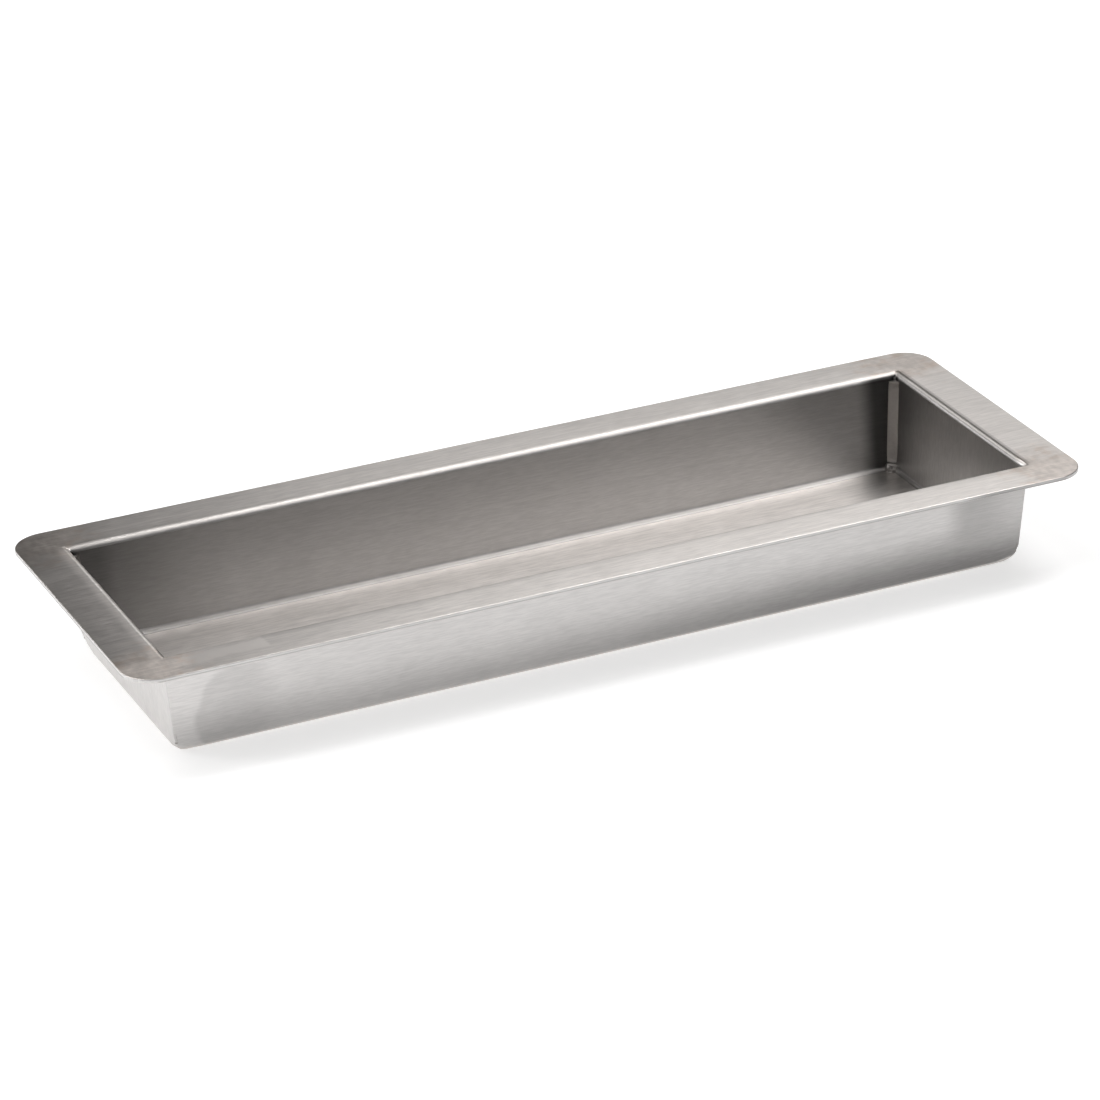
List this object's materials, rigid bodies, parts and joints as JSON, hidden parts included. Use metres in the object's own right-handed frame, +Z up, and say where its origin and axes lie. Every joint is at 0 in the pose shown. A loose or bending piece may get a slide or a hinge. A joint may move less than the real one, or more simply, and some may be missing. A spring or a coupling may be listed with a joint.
{
  "type": "flanged mud pan",
  "caption": "Shallow rectangular stainless steel pan with leaning walls and a flat rim with rounded corners, folded from one sheet and welded at its corners.",
  "frame": {"origin": "centre of the floor's underside, on the surface the pan stands on", "axes": "+X along the length to the right end, +Y across to the back, +Z up out of the pan"},
  "size_m": [0.3, 0.11, 0.0325],
  "materials": {
    "sheet_steel": "brushed along the length of the blank, warm grey",
    "floor_weld_steel": "as welded, dull and slightly rough",
    "corner_weld_steel": "wire-brushed bead inside, ground flush outside",
    "rim_weld_steel": "ground flush and dressed, faint straw heat tint"
  },
  "bodies": {
    "root": {"pan_sheet": "sheet_steel", "floor_weld_front_left": "floor_weld_steel", "floor_weld_front_right": "floor_weld_steel", "floor_weld_back_left": "floor_weld_steel", "floor_weld_back_right": "floor_weld_steel", "corner_weld_front_left": "corner_weld_steel", "corner_weld_front_right": "corner_weld_steel", "corner_weld_back_left": "corner_weld_steel", "corner_weld_back_right": "corner_weld_steel", "rim_weld_front_left": "rim_weld_steel", "rim_weld_front_right": "rim_weld_steel", "rim_weld_back_left": "rim_weld_steel", "rim_weld_back_right": "rim_weld_steel"}
  },
  "joints": []
}
